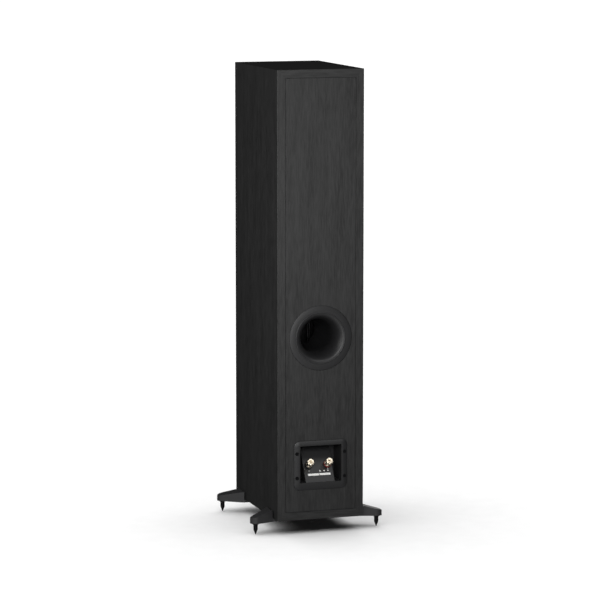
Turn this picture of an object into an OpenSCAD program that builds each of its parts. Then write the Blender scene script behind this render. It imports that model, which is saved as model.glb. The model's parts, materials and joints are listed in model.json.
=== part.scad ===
// Floor-standing two-and-a-half-way loudspeaker on outrigger feet.
// Millimetres. +Z is up, the drive units face -Y, the terminals and the bass port face +Y.
// The origin lies on the floor under the middle of the cabinet.

/* [Cabinet] */
// Width of the cabinet
cabinet_w = 200; // [190:1:230]
// Depth of the cabinet
cabinet_d = 320; // [300:1:360]
// Height of the cabinet without its feet
cabinet_h = 1000; // [960:1:1100]
// Thickness of every board
board_t = 18; // [15:1:22]
// Height of the cabinet's underside above the floor
floor_gap = 32; // [30:1:36]
// Width of the fine groove round the front and rear panels
groove_w = 1; // [0.5:0.1:1.5]

/* [Drive units] */
// Height of the lower woofer's centre above the cabinet's underside
woofer_low_h = 620; // [600:1:640]
// Height of the upper woofer's centre above the cabinet's underside
woofer_high_h = 796; // [790:1:800]
// Height of the tweeter's centre above the cabinet's underside
tweeter_h = 926; // [922:1:928]
// Radius of a woofer's flange
woofer_r = 78; // [77:0.5:79]
// How far a woofer's rubber roll stands out of the baffle
roll_proud = 3.5; // [3:0.1:4]
// Radius of the tweeter's faceplate
tweeter_r = 52; // [48:1:54]

/* [Bass port] */
// Height of the port's centre above the cabinet's underside
port_h = 407; // [400:1:420]
// Radius of the port's flange
port_flange_r = 72; // [68:0.5:74]
// Radius of the raised lip at the mouth
port_mouth_r = 55; // [52:0.5:56]
// Inner radius of the port tube
port_throat_r = 38; // [34:0.5:40]
// Length of the flared mouth
port_flare_len = 45; // [40:1:50]
// Length of the whole port from the rear face
port_len = 160; // [140:1:180]

/* [Terminal cup] */
// Height of the flange's centre above the cabinet's underside
cup_h = 122.5; // [115:0.5:130]
// Width of the flange
cup_flange_w = 124; // [120:1:128]
// Height of the flange
cup_flange_h = 110; // [106:1:114]
// Width of the recess
cup_open_w = 96; // [92:1:98]
// Height of the recess
cup_open_h = 83; // [80:1:86]
// Width of the sloping plate that carries the posts
ramp_w = 68; // [64:1:72]
// Slope of that plate away from the upright
ramp_tilt = 31; // [29:1:33]
// Distance between the two binding posts
post_pitch = 44; // [40:1:48]
// Distance of the posts from the foot of the slope, measured up the slope
post_run = 40.3; // [38:0.1:42]
// Radius of a plug's hole in the end of a post
plug_bore_r = 2; // [2:0.05:2.1]

/* [Feet] */
// Sideways distance of a spike from the middle
spike_x = 142; // [138:1:146]
// Distance of a spike from the front or rear face
spike_inset = 30; // [28:1:34]
// Radius of an arm's round outer end
arm_end_r = 12.5; // [12:0.5:14]
// Height of an arm's root above the cabinet's underside
arm_root_top = 18.5; // [16:0.5:20]
// Height of an arm's outer end above the cabinet's underside
arm_end_top = 6.4; // [5:0.1:8]
// Thickness of the plate under the cabinet
plate_t = 6.5; // [6:0.5:8]
// Travel of a levelling spike
spike_travel = 8; // [6:1:9]

/* [Hidden] */
$fn = 96;

half_w = cabinet_w / 2;
half_d = cabinet_d / 2;
base_z = floor_gap;
top_z = floor_gap + cabinet_h;
inner_w = cabinet_w - 2 * board_t;
inner_h = cabinet_h - 2 * board_t;
inner_half_d = half_d - board_t;
groove_depth = 2;
fit_gap = 0.05;          // clearance round a screw or a stud
body_gap = 0.3;          // clearance between pieces that move apart
past = 1;                // how far a cutter runs past a face

// Colours
vinyl_black = [0.13, 0.13, 0.13];
baffle_black = [0.09, 0.09, 0.1];
plastic_black = [0.16, 0.16, 0.165];
mdf_brown = [0.55, 0.42, 0.3];
felt_grey = [0.35, 0.35, 0.36];
gold = [0.83, 0.72, 0.47];
steel_black = [0.07, 0.07, 0.075];
zinc_grey = [0.62, 0.63, 0.65];
ferrite_grey = [0.22, 0.22, 0.24];
rubber_black = [0.06, 0.06, 0.06];
cone_grey = [0.12, 0.12, 0.125];
copper = [0.72, 0.41, 0.25];

// Woofer, measured outwards from the baffle's front face
woofer_hole_r = 68;
flange_t = 4;
rebate_gap = 0.6;
ledge_r = 70;
basket_in_r = 62.5;
roll_in_r = 55;
roll_out_r = 65.5;
roll_t = 1;
cone_out_r = roll_in_r - 0.6;
cone_back = -30;
cone_front = -2.3;
cone_power = 0.86;
coil_r = 16;
coil_wall = 0.5;
winding_t = 0.7;
cone_in_r = coil_r + coil_wall + 0.2;
dust_cap_r = 25;
spider_z = -39;
spider_t = 0.7;
spider_out_r = 46;
spider_ledge_r = 43;
plate_z = -54;
plate_steel_t = 6;
magnet_t = 16;
magnet_r = 45;
pole_r = coil_r - 0.6;
gap_r = coil_r + coil_wall + winding_t + 0.7;
yoke_z = plate_z - plate_steel_t - magnet_t;
woofer_screw_pcr = 74;
woofer_screw_count = 8;

// Tweeter, measured the same way
dome_r = 12.7;
dome_h = 5.5;
dome_z = -8.5;
tweeter_hole_r = 41;
tweeter_screw_pcr = 45.5;

// Terminal cup
cup_z = base_z + cup_h;
cup_open_rise = 2.5;     // the recess sits a little above the flange's middle
cup_floor_z = cup_z + cup_open_rise - cup_open_h / 2;
cup_roof_z = cup_floor_z + cup_open_h;
cup_depth = 52;
cup_wall = 2;
cup_flange_r = 12.6;
cup_rim_y = half_d + roll_proud;
cup_edge_y = half_d + 1.2;
cup_seat_y = half_d - 1;
gasket_t = 1;
ramp_t = 3;
post_y = half_d - post_run * sin(ramp_tilt);
post_z = cup_floor_z + post_run * cos(ramp_tilt);
stud_r = 3;
seat_r = 7.5;
seat_t = 2;
ring_r = 8.8;
ring_t = 4.7;
nut_r = 8.3;
nut_base = seat_t + ring_t + 2 * body_gap;
nut_len = 15.9;
stud_end = nut_base + nut_len - 0.6;
plug_bore_len = 14;
label_run = 18;
cup_screw_x = 55.5;
cup_screw_low = base_z + 95;
cup_screw_high = base_z + 150;

// Feet
arm_gap = 2.5;
arm_root_x = half_w + arm_gap;
arm_root_y_out = half_d - 29;
arm_root_y_in = half_d - 73;
spike_y = half_d - spike_inset;
plate_z0 = base_z - plate_t;
plate_in_x = 50;
foot_screw_xs = [62, 86];
foot_screw_y = (arm_root_y_out + arm_root_y_in) / 2;
thread_r = 4;
thread_len = 11.5;
collar_r = 9.3;
collar_t = 4;
spike_r = 4.9;
spike_cone_h = 11;
spike_tip_r = 0.6;

// ---- shared shapes ----

// A board standing in the XZ plane, between two Y values
module upright(x0, x1, y0, y1, z0, z1) {
  translate([x0, y0, z0]) cube([x1 - x0, y1 - y0, z1 - z0]);
}

// Turns a profile drawn in X and Z so that its extrusion runs along Y, from y0 to y1
module along_y(y0, y1) {
  translate([0, y1, 0]) rotate([90, 0, 0]) linear_extrude(y1 - y0) children();
}

// Turns a profile drawn in Y and Z so that its extrusion runs along X, from x0 to x1
module along_x(x0, x1) {
  translate([x0, 0, 0]) rotate([90, 0, 90]) linear_extrude(x1 - x0) children();
}

// Puts a driver's own axis on the baffle, with its +Z towards the listener
module on_baffle(height) {
  translate([0, -half_d, base_z + height]) rotate([90, 0, 0]) children();
}

// Puts a port's own axis on the rear panel, with its +Z into the cabinet
module into_rear(height) {
  translate([0, half_d, base_z + height]) rotate([90, 0, 0]) children();
}

// Puts a post's own axis on the sloping plate, with its +Z away from the plate
module on_ramp(x) {
  translate([x, post_y, post_z]) rotate([ramp_tilt - 90, 0, 0]) children();
}

module rounded_rect(w, h, r) {
  union() {
    square([w - 2 * r, h], center = true);
    square([w, h - 2 * r], center = true);
    for (sx = [-1, 1], sy = [-1, 1]) {
      translate([sx * (w / 2 - r), sy * (h / 2 - r)]) circle(r, $fn = 48);
    }
  }
}

module ring(r_in, r_out, z0, z1) {
  difference() {
    translate([0, 0, z0]) cylinder(r = r_out, h = z1 - z0);
    translate([0, 0, z0 - past]) cylinder(r = r_in, h = z1 - z0 + 2 * past);
  }
}

// Straight wires from point to point, with a bead at each bend
module wire_run(points, r) {
  for (i = [0 : len(points) - 2]) {
    span = points[i + 1] - points[i];
    turn = atan2(norm([span[0], span[1]]), span[2]);
    heading = atan2(span[1], span[0]);
    translate(points[i]) rotate([0, turn, heading]) cylinder(r = r, h = norm(span), $fn = 24);
  }
  for (i = [1 : len(points) - 2]) translate(points[i]) sphere(r = 1.1 * r, $fn = 24);
}

// ---- cabinet ----

// One mitred side board, side = -1 for the left as the listener sees it
module side_panel(side) {
  along_y(-half_d, half_d) polygon([
    [side * half_w, base_z], [side * half_w, top_z],
    [side * (half_w - board_t), top_z - board_t], [side * (half_w - board_t), base_z + board_t]
  ]);
}

module side_panel_left() {
  color(vinyl_black) side_panel(-1);
}

module side_panel_right() {
  color(vinyl_black) side_panel(1);
}

module top_panel() {
  color(vinyl_black) along_y(-half_d, half_d) polygon([
    [-half_w, top_z], [half_w, top_z],
    [half_w - board_t, top_z - board_t], [-half_w + board_t, top_z - board_t]
  ]);
}

module bottom_panel() {
  color(vinyl_black) difference() {
    along_y(-half_d, half_d) polygon([
      [-half_w, base_z], [half_w, base_z],
      [half_w - board_t, base_z + board_t], [-half_w + board_t, base_z + board_t]
    ]);
    foot_screw_spots() translate([0, 0, base_z - past]) cylinder(r = 2.5 + fit_gap, h = 14 + past, $fn = 32);
    crossover_spots() translate([0, 0, base_z + board_t - 10]) cylinder(r = 1.5 + fit_gap, h = 11, $fn = 32);
  }
}

// A panel that fills the frame of the four boards, with a groove round its outer face
module inset_panel(outer_y, inner_y) {
  lip = outer_y > 0 ? -groove_depth : groove_depth;
  y_lo = min(outer_y + lip, inner_y);
  y_hi = max(outer_y + lip, inner_y);
  union() {
    upright(-inner_w / 2, inner_w / 2, y_lo, y_hi, base_z + board_t, top_z - board_t);
    upright(-inner_w / 2 + groove_w, inner_w / 2 - groove_w, min(outer_y, outer_y + lip),
      max(outer_y, outer_y + lip), base_z + board_t + groove_w, top_z - board_t - groove_w);
  }
}

module front_baffle() {
  color(baffle_black) difference() {
    inset_panel(-half_d, -inner_half_d);
    for (h = [woofer_low_h, woofer_high_h]) on_baffle(h) {
      translate([0, 0, -flange_t]) cylinder(r = woofer_r + rebate_gap, h = flange_t + past);
      translate([0, 0, -board_t - past]) cylinder(r = woofer_hole_r, h = board_t + 2 * past);
      woofer_screw_spots() translate([0, 0, -board_t + 2]) cylinder(r = 1.75 + fit_gap, h = board_t, $fn = 32);
    }
    on_baffle(tweeter_h) {
      translate([0, 0, -flange_t]) cylinder(r = tweeter_r + rebate_gap, h = flange_t + past);
      translate([0, 0, -board_t - past]) cylinder(r = tweeter_hole_r, h = board_t + 2 * past);
      tweeter_screw_spots() translate([0, 0, -board_t + 4]) cylinder(r = 1.5 + fit_gap, h = board_t, $fn = 32);
    }
  }
}

module rear_panel() {
  color(vinyl_black) difference() {
    inset_panel(half_d, inner_half_d);
    into_rear(port_h) {
      translate([0, 0, -past]) cylinder(r = port_flange_r + rebate_gap, h = flange_t + past);
      translate([0, 0, -past]) cylinder(r = port_mouth_r - 1, h = board_t + 2 * past);
    }
    translate([0, 0, cup_z]) along_y(cup_seat_y - gasket_t, half_d + past)
      rounded_rect(cup_flange_w + 1, cup_flange_h + 1, cup_flange_r + 0.5);
    translate([0, 0, cup_z]) along_y(inner_half_d - past, half_d) translate([0, cup_open_rise])
      square([cup_open_w + 2 * cup_wall + 2, cup_open_h + 2 * cup_wall + 2], center = true);
    cup_screw_spots() translate([0, 0, -2]) cylinder(r = 1.75 + fit_gap, h = 16, $fn = 32);
  }
}

// A shelf brace with two windows
module brace(height) {
  window_w = (inner_w - 3 * 16) / 2;
  difference() {
    upright(-inner_w / 2, inner_w / 2, -inner_half_d, inner_half_d, base_z + height - 9, base_z + height + 9);
    for (side = [-1, 1], end = [-1, 1]) {
      translate([side * (window_w / 2 + 8), end * 62, base_z + height - 9 - past])
        linear_extrude(18 + 2 * past) rounded_rect(window_w, 96, 10);
    }
  }
}

module brace_upper() {
  color(mdf_brown) brace((woofer_low_h + woofer_high_h) / 2);
}

module brace_middle() {
  color(mdf_brown) brace(510);
}

module brace_lower() {
  color(mdf_brown) brace(264);
}

// Felt pads on the inner side walls, one in each bay of the cabinet
module damping_felt() {
  bays = [[290, 485], [535, 685], [735, 960]];
  color(felt_grey) for (side = [-1, 1], bay = bays) {
    upright(min(side * (inner_w / 2 - 8), side * inner_w / 2), max(side * (inner_w / 2 - 8), side * inner_w / 2),
      -20, 120, base_z + bay[0], base_z + bay[1]);
  }
}

// ---- bass port ----

// Inner radius of the flared mouth at a depth below the rear face
function flare_r(depth) =
  port_throat_r + (port_mouth_r - port_throat_r) * (1 - sqrt(1 - pow(1 - depth / port_flare_len, 2)));

module port_flare() {
  steps = 10;
  wall = 3;
  socket_r = port_throat_r + 2.6;
  inner = [for (i = [0 : steps]) let (d = port_flare_len * i / steps) [flare_r(d), d]];
  outer = [for (i = [steps : -1 : 2]) let (d = port_flare_len * i / steps) [flare_r(d) + wall, d]];
  color(plastic_black) into_rear(port_h) rotate_extrude() polygon(concat(
    [[port_mouth_r + 0.6, -1.4], [port_mouth_r, -0.8]], inner,
    [[port_throat_r, port_flare_len + 2], [socket_r, port_flare_len + 2], [socket_r, port_flare_len + 17],
      [socket_r + wall, port_flare_len + 17]], outer,
    [[flare_r(flange_t) + wall, flange_t - 0.2], [port_flange_r, flange_t - 0.2], [port_flange_r, 0.3],
      [port_flange_r - 0.3, 0], [port_mouth_r + 3.2, 0], [port_mouth_r + 2.4, -1.1], [port_mouth_r + 1.6, -1.4]]
  ));
}

module port_tube() {
  color(plastic_black) into_rear(port_h)
    ring(port_throat_r, port_throat_r + 2.5, port_flare_len + 2.2, port_len);
}

// ---- terminal cup ----

// The four fixing screws of the cup; +Z runs into the cabinet
module cup_screw_spots() {
  for (sx = [-1, 1], z = [cup_screw_low, cup_screw_high]) {
    translate([sx * cup_screw_x, half_d, z]) rotate([90, 0, 0]) children();
  }
}

// A cross-section of the flange: flat over the recess's rim, then sloping down past its edges.
// lo and hi are the rim's ends, reach is how far the slope runs, and drop how far it falls.
function flange_section(lo, hi, reach, drop) = [
  [lo - reach, cup_seat_y - past], [lo - reach, cup_rim_y - drop], [lo, cup_rim_y],
  [hi, cup_rim_y], [hi + reach, cup_rim_y - drop], [hi + reach, cup_seat_y - past]
];

// The flange's face slopes from a raised rim round the recess down to its outer edge
module cup_flange() {
  rim = 3;
  reach = 24;
  fall = (cup_rim_y - cup_edge_y) / ((cup_flange_w - cup_open_w) / 2 - rim);
  across = flange_section(-cup_open_w / 2 - rim, cup_open_w / 2 + rim, reach, fall * reach);
  upwards = flange_section(cup_floor_z - rim, cup_roof_z + rim, reach, fall * reach);
  intersection() {
    translate([0, 0, cup_z]) along_y(cup_seat_y, cup_rim_y + past)
      rounded_rect(cup_flange_w, cup_flange_h, cup_flange_r);
    translate([0, 0, cup_z - cup_flange_h]) linear_extrude(2 * cup_flange_h) polygon(across);
    along_x(-cup_flange_w, cup_flange_w) polygon([for (p = upwards) [p[1], p[0]]]);
  }
}

module terminal_cup() {
  roof = cup_roof_z;
  foot = cup_floor_z;
  deep_y = half_d - cup_depth;
  back_y = deep_y - cup_wall;
  // Y of the slope at a height above the recess's floor
  function slope_y(rise) = half_d - rise * tan(ramp_tilt);
  behind = ramp_t / cos(ramp_tilt);
  hollow_top = cup_open_h - 4;
  color(plastic_black) difference() {
    union() {
      cup_flange();
      upright(-cup_open_w / 2 - cup_wall, cup_open_w / 2 + cup_wall, back_y, half_d,
        foot - cup_wall, roof + cup_wall);
    }
    union() {
      // The slots on both sides of the slope
      for (side = [-1, 1]) {
        x0 = side > 0 ? ramp_w / 2 : -cup_open_w / 2;
        upright(x0, x0 + (cup_open_w - ramp_w) / 2, deep_y, cup_rim_y + past, foot, roof);
      }
      // The space in front of the slope
      along_x(-cup_open_w / 2, cup_open_w / 2) polygon([
        [cup_rim_y + past, foot], [half_d, foot], [slope_y(cup_open_h), roof], [cup_rim_y + past, roof]
      ]);
    }
    // The hollow behind the slope, open towards the cabinet's inside
    along_x(-ramp_w / 2 + cup_wall, ramp_w / 2 - cup_wall) polygon([
      [back_y - past, foot], [slope_y(10) - behind, foot], [slope_y(10) - behind, foot + 10],
      [slope_y(hollow_top) - behind, foot + hollow_top], [back_y - past, foot + hollow_top]
    ]);
    for (side = [-1, 1]) on_ramp(side * post_pitch / 2) {
      translate([0, 0, -ramp_t - 3]) cylinder(r = stud_r + fit_gap, h = ramp_t + 3 + past);
    }
    cup_screw_spots() {
      translate([0, 0, -past - roll_proud]) cylinder(r = 4.2, h = roll_proud + past - 0.6, $fn = 32);
      translate([0, 0, -past - roll_proud]) cylinder(r = 1.75 + fit_gap, h = 8, $fn = 32);
    }
  }
}

module terminal_gasket() {
  color(rubber_black) difference() {
    translate([0, 0, cup_z]) along_y(cup_seat_y - gasket_t, cup_seat_y)
      rounded_rect(cup_flange_w, cup_flange_h, cup_flange_r);
    translate([0, 0, cup_z]) along_y(cup_seat_y - 2 * gasket_t, cup_seat_y + past) translate([0, cup_open_rise])
      square([cup_open_w + 2 * cup_wall + 2, cup_open_h + 2 * cup_wall + 2], center = true);
    cup_screw_spots() translate([0, 0, -2]) cylinder(r = 1.75 + fit_gap, h = 8, $fn = 32);
  }
}

// Pan-head screws, their heads on the flange's seats
module terminal_screws() {
  color(steel_black) cup_screw_spots() difference() {
    union() {
      translate([0, 0, -2.6]) cylinder(r = 3.6, h = 2, $fn = 48);
      translate([0, 0, -0.7]) cylinder(r = 1.75, h = 13.5, $fn = 32);
    }
    for (turn = [0, 90]) rotate(turn) translate([-2.2, -0.45, -2.6 - past]) cube([4.4, 0.9, 1.2 + past]);
  }
}

// Two blank label bars on the slope
module label_plate() {
  color("white") translate([0, half_d - label_run * sin(ramp_tilt), cup_floor_z + label_run * cos(ramp_tilt)])
    rotate([ramp_tilt - 90, 0, 0]) for (side = [-1, 1]) {
      translate([side * 13.5 - 12.9, -2.4, 0]) cube([25.8, 4.8, 0.5]);
    }
}

module post_studs() {
  color(gold) for (side = [-1, 1]) on_ramp(side * post_pitch / 2) difference() {
    union() {
      translate([0, 0, -ramp_t - 14]) cylinder(r = stud_r, h = ramp_t + 14 + stud_end);
      cylinder(r = seat_r, h = seat_t);
    }
    translate([0, 0, stud_end - plug_bore_len]) cylinder(r = plug_bore_r, h = plug_bore_len + past, $fn = 48);
  }
}

// Hexagon nuts behind the slope
module post_back_nuts() {
  color(zinc_grey) for (side = [-1, 1]) on_ramp(side * post_pitch / 2) difference() {
    translate([0, 0, -ramp_t - 5]) cylinder(r = 5.77, h = 5, $fn = 6);
    translate([0, 0, -ramp_t - 5 - past]) cylinder(r = stud_r + fit_gap, h = 5 + 2 * past, $fn = 48);
  }
}

module post_ring(x) {
  on_ramp(x) ring(stud_r + fit_gap, ring_r, seat_t + body_gap, seat_t + body_gap + ring_t);
}

module post_ring_red() {
  color([0.62, 0.08, 0.07]) post_ring(-post_pitch / 2);
}

module post_ring_black() {
  color(plastic_black) post_ring(post_pitch / 2);
}

// A thumb nut with six shallow scallops round its grip
module post_nut(x) {
  on_ramp(x) difference() {
    translate([0, 0, nut_base]) cylinder(r = nut_r, h = nut_len);
    translate([0, 0, nut_base - past]) cylinder(r = stud_r + fit_gap, h = nut_len + 2 * past, $fn = 48);
    for (i = [0 : 5]) rotate(60 * i) translate([nut_r + 2.6, 0, nut_base + 2.5])
      cylinder(r = 3.8, h = nut_len, $fn = 48);
  }
}

module post_nut_red() {
  color(gold) post_nut(-post_pitch / 2);
}

module post_nut_black() {
  color(gold) post_nut(post_pitch / 2);
}

// ---- crossover ----

board_z = base_z + board_t + 8;
board_y = -20;
board_w = 120;
board_len = 170;
board_thick = 1.6;

module crossover_spots() {
  for (sx = [-1, 1], sy = [-1, 1]) {
    translate([sx * (board_w / 2 - 7), board_y + sy * (board_len / 2 - 7), 0]) children();
  }
}

module crossover_board() {
  color([0.1, 0.25, 0.14]) difference() {
    upright(-board_w / 2, board_w / 2, board_y - board_len / 2, board_y + board_len / 2,
      board_z, board_z + board_thick);
    crossover_spots() translate([0, 0, board_z - past]) cylinder(r = 1.5 + fit_gap, h = 4, $fn = 32);
  }
}

// Screws with their spacer sleeves
module crossover_screws() {
  color(zinc_grey) crossover_spots() {
    difference() {
      translate([0, 0, base_z + board_t]) cylinder(r = 3.5, h = 8, $fn = 32);
      translate([0, 0, base_z + board_t - past]) cylinder(r = 1.5 + fit_gap, h = 10, $fn = 32);
    }
    translate([0, 0, board_z + board_thick]) cylinder(r = 3, h = 2, $fn = 32);
    translate([0, 0, base_z + board_t - 9]) cylinder(r = 1.5, h = 9 + 8 + board_thick + 1, $fn = 32);
  }
}

module crossover_coils() {
  coil_spots = [[-24, -68, 26, 24], [28, -14, 20, 18]];
  color(copper) for (c = coil_spots) translate([c[0], c[1], board_z + board_thick]) {
    ring(9, c[2], 0, c[3]);
  }
}

module crossover_capacitors() {
  caps = [[-30, -12, 9], [-30, 14, 9], [28, 34, 7]];
  color([0.75, 0.6, 0.15]) for (c = caps) {
    translate([c[0] - 17, c[1], board_z + board_thick + c[2]]) rotate([0, 90, 0]) cylinder(r = c[2], h = 34);
  }
}

module crossover_resistors() {
  color([0.85, 0.84, 0.8]) for (y = [-62, -46]) {
    translate([22, y, board_z + board_thick]) cube([30, 9, 9]);
  }
}

// Two leads from the posts' studs to the board
module input_wires() {
  color([0.2, 0.2, 0.2]) for (side = [-1, 1]) {
    x = side * post_pitch / 2;
    tail = -ramp_t - 14;
    tail_y = post_y + tail * cos(ramp_tilt);
    tail_z = post_z + tail * sin(ramp_tilt);
    wire_run([[x, tail_y - 1.6, tail_z - 1], [x, tail_y - 14, tail_z - 4], [x, tail_y - 28, tail_z - 20],
      [x, tail_y - 30, 84], [x, 56, board_z + board_thick + 1.6]], 1.5);
  }
}

// Leads that run up inside the front corners to each drive unit
module driver_wires() {
  rise_x = inner_w / 2 - 24;
  rise_y = -inner_half_d + 45;
  color([0.2, 0.2, 0.2]) {
    wire_run([[-52, -90, board_z + board_thick + 1.6], [-rise_x, rise_y, 120],
      [-rise_x, rise_y, base_z + woofer_low_h - 60], [-40, -half_d + 66, base_z + woofer_low_h - 44]], 1.5);
    wire_run([[-44, -90, board_z + board_thick + 1.6], [-rise_x + 6, rise_y + 6, 130],
      [-rise_x + 6, rise_y + 6, base_z + woofer_high_h - 60], [-40, -half_d + 66, base_z + woofer_high_h - 44]], 1.5);
    wire_run([[52, -90, board_z + board_thick + 1.6], [rise_x, rise_y, 120],
      [rise_x, rise_y, base_z + tweeter_h - 30], [24, -half_d + 42, base_z + tweeter_h - 18]], 1.2);
  }
}

// ---- woofers ----

module woofer_screw_spots() {
  for (i = [0 : woofer_screw_count - 1]) {
    rotate((i + 0.5) * 360 / woofer_screw_count) translate([woofer_screw_pcr, 0, 0]) children();
  }
}

module woofer_basket(height) {
  ledge_z = spider_z - spider_t - 0.05;
  color(steel_black) on_baffle(height) difference() {
    rotate_extrude() polygon([
      [ledge_r, 0], [woofer_r - 0.6, 0], [woofer_r, -0.6], [woofer_r, -flange_t + 0.1],
      [woofer_hole_r - 0.5, -flange_t + 0.1], [51, -34], [48.5, ledge_z - 2.5], [46, ledge_z - 3],
      [45.5, plate_z], [22, plate_z], [22, plate_z + 3], [spider_ledge_r, plate_z + 3],
      [spider_ledge_r, ledge_z], [spider_out_r + 0.2, ledge_z], [spider_out_r + 0.6, -34],
      [basket_in_r, -flange_t], [basket_in_r, -2.2], [ledge_r, -2.2]
    ]);
    // Windows between the six arms, in front of and behind the spider's ledge
    for (i = [0 : 5]) rotate(60 * i + 30) {
      translate([40, -13, -31]) cube([40, 26, 20]);
      translate([36, -9, plate_z + 4]) cube([20, 18, 6]);
    }
    woofer_screw_spots() translate([0, 0, -flange_t - past]) cylinder(r = 1.75 + fit_gap, h = 8, $fn = 32);
    woofer_screw_spots() translate([0, 0, -1.6]) cylinder(r = 3.1, h = 4, $fn = 32);
  }
}

// Rubber half roll with a lip glued to the basket and one glued to the cone
module woofer_surround(height) {
  mid = (roll_in_r + roll_out_r) / 2;
  half = (roll_out_r - roll_in_r) / 2;
  steps = 12;
  crown = roll_proud + 1.2;
  color(rubber_black) on_baffle(height) rotate_extrude() polygon(concat(
    [[roll_in_r - 3.5, -2.1], [roll_in_r - 3.5, -1.2], [roll_in_r, -1.2]],
    [for (i = [1 : steps - 1]) let (a = 180 - 180 * i / steps) [mid + half * cos(a), -1.2 + crown * sin(a)]],
    [[roll_out_r, -1.2], [ledge_r - 0.3, -1.2], [ledge_r - 0.3, -2.1], [roll_out_r - roll_t, -2.1]],
    [for (i = [1 : steps - 1]) let (a = 180 * i / steps)
      [mid + (half - roll_t) * cos(a), -2.1 + crown * sin(a)]],
    [[roll_in_r + roll_t, -2.1]]
  ));
}

// The cone's front surface, from the voice coil at t = 0 to the surround at t = 1
function cone_line(t) = [cone_in_r + (cone_out_r - cone_in_r) * t,
  cone_back + (cone_front - cone_back) * pow(t, cone_power)];

// Paper cone: a shallow curve from the voice coil to the surround's inner lip
module woofer_cone(height) {
  steps = 10;
  wall = 1.2;
  color(cone_grey) on_baffle(height) rotate_extrude() polygon(concat(
    [for (i = [0 : steps]) cone_line(i / steps)],
    [for (i = [steps : -1 : 0]) cone_line(i / steps) - [0, wall]]
  ));
}

module woofer_dust_cap(height) {
  rise = 9;
  sphere_r = (dust_cap_r * dust_cap_r + rise * rise) / (2 * rise);
  rim_z = cone_line((dust_cap_r - cone_in_r) / (cone_out_r - cone_in_r))[1] + 0.1;
  color(rubber_black) on_baffle(height) translate([0, 0, rim_z]) difference() {
    intersection() {
      translate([0, 0, rise - sphere_r]) sphere(r = sphere_r);
      cylinder(r = dust_cap_r, h = rise + 1);
    }
    translate([0, 0, rise - sphere_r]) sphere(r = sphere_r - 0.9);
  }
}

module woofer_voice_coil(height) {
  color(copper) on_baffle(height) union() {
    ring(coil_r, coil_r + coil_wall, -62, cone_back - 0.2);
    ring(coil_r + coil_wall / 2, coil_r + coil_wall + winding_t, -62, -51);
  }
}

// Corrugated spider between the coil and the basket
module woofer_spider(height) {
  waves = 4;
  steps = 16;
  r0 = coil_r + coil_wall + 0.15;
  r1 = spider_ledge_r;
  function wave(i) = [r0 + (r1 - r0) * i / steps, spider_z + 1.3 * sin(360 * waves * i / steps)];
  color([0.75, 0.62, 0.35]) on_baffle(height) rotate_extrude() polygon(concat(
    [for (i = [0 : steps]) wave(i)],
    [[spider_out_r, spider_z], [spider_out_r, spider_z - spider_t]],
    [for (i = [steps : -1 : 0]) wave(i) - [0, spider_t]]
  ));
}

module upper_woofer_basket() {
  woofer_basket(woofer_high_h);
}

module upper_woofer_surround() {
  woofer_surround(woofer_high_h);
}

module upper_woofer_cone() {
  woofer_cone(woofer_high_h);
}

module upper_woofer_dust_cap() {
  woofer_dust_cap(woofer_high_h);
}

module upper_woofer_voice_coil() {
  woofer_voice_coil(woofer_high_h);
}

module upper_woofer_spider() {
  woofer_spider(woofer_high_h);
}

module lower_woofer_basket() {
  woofer_basket(woofer_low_h);
}

module lower_woofer_surround() {
  woofer_surround(woofer_low_h);
}

module lower_woofer_cone() {
  woofer_cone(woofer_low_h);
}

module lower_woofer_dust_cap() {
  woofer_dust_cap(woofer_low_h);
}

module lower_woofer_voice_coil() {
  woofer_voice_coil(woofer_low_h);
}

module lower_woofer_spider() {
  woofer_spider(woofer_low_h);
}

module woofer_top_plates() {
  color(zinc_grey) for (h = [woofer_low_h, woofer_high_h]) on_baffle(h)
    ring(gap_r, 43, plate_z - plate_steel_t, plate_z);
}

module woofer_magnets() {
  color(ferrite_grey) for (h = [woofer_low_h, woofer_high_h]) on_baffle(h)
    ring(25, magnet_r, yoke_z, plate_z - plate_steel_t);
}

// Back plate and pole in one, with a vent through the pole
module woofer_yokes() {
  color(zinc_grey) for (h = [woofer_low_h, woofer_high_h]) on_baffle(h) difference() {
    union() {
      translate([0, 0, yoke_z - 6]) cylinder(r = 42, h = 6);
      translate([0, 0, yoke_z - 1]) cylinder(r = pole_r, h = plate_z - yoke_z + 1);
    }
    translate([0, 0, yoke_z - 6 - past]) cylinder(r = 5, h = plate_z - yoke_z + 6 + 2 * past, $fn = 48);
  }
}

// A hex-socket screw, its head's top at z = 0
module cap_screw(head_r, head_h, shank_r, len, socket_r) {
  difference() {
    union() {
      translate([0, 0, -head_h]) cylinder(r = head_r, h = head_h, $fn = 48);
      translate([0, 0, -len]) cylinder(r = shank_r, h = len, $fn = 32);
    }
    translate([0, 0, -1.2]) cylinder(r = socket_r, h = 2, $fn = 6);
  }
}

module woofer_screws() {
  color(steel_black) for (h = [woofer_low_h, woofer_high_h]) on_baffle(h)
    woofer_screw_spots() translate([0, 0, 0.3]) cap_screw(2.8, 1.9, 1.75, 16, 1.4);
}

// ---- tweeter ----

module tweeter_screw_spots() {
  for (i = [0 : 3]) rotate(90 * i + 45) translate([tweeter_screw_pcr, 0, 0]) children();
}

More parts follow.
